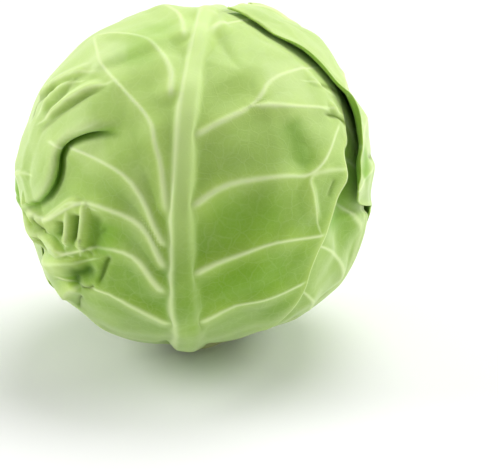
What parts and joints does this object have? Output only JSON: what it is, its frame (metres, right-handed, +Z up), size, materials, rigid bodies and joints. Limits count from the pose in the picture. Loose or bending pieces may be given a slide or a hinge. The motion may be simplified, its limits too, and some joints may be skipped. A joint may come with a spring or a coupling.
{
  "type": "cabbage head",
  "caption": "Whole head of green cabbage: a packed heart on a cut stem, wrapped in broad waxy leaves with thick pale midribs, branching veins, folds and a rolled margin",
  "frame": {"origin": "On the head's axis, in the cut face of the stem on which it rests", "axes": "+Z up from the cut stem to the crown, -Y towards the leaf that shows its whole midrib, +X to that leaf's right as seen from -Y"},
  "size_m": [0.1839, 0.1848, 0.1811],
  "materials": {
    "stem": "matt, pale cut flesh",
    "heart": "soft sheen, pale green leaf",
    "inner_leaf": "soft sheen, fresh green leaf",
    "outer_leaf": "waxy bloom, yellow-green leaf with pale ribs"
  },
  "bodies": {
    "root": {"cut_stem": "stem", "heart": "heart", "leaf_inner_back": "inner_leaf", "leaf_inner_left": "inner_leaf", "leaf_inner_right": "inner_leaf", "leaf_back": "outer_leaf", "leaf_front": "outer_leaf", "leaf_right": "outer_leaf"}
  },
  "joints": []
}
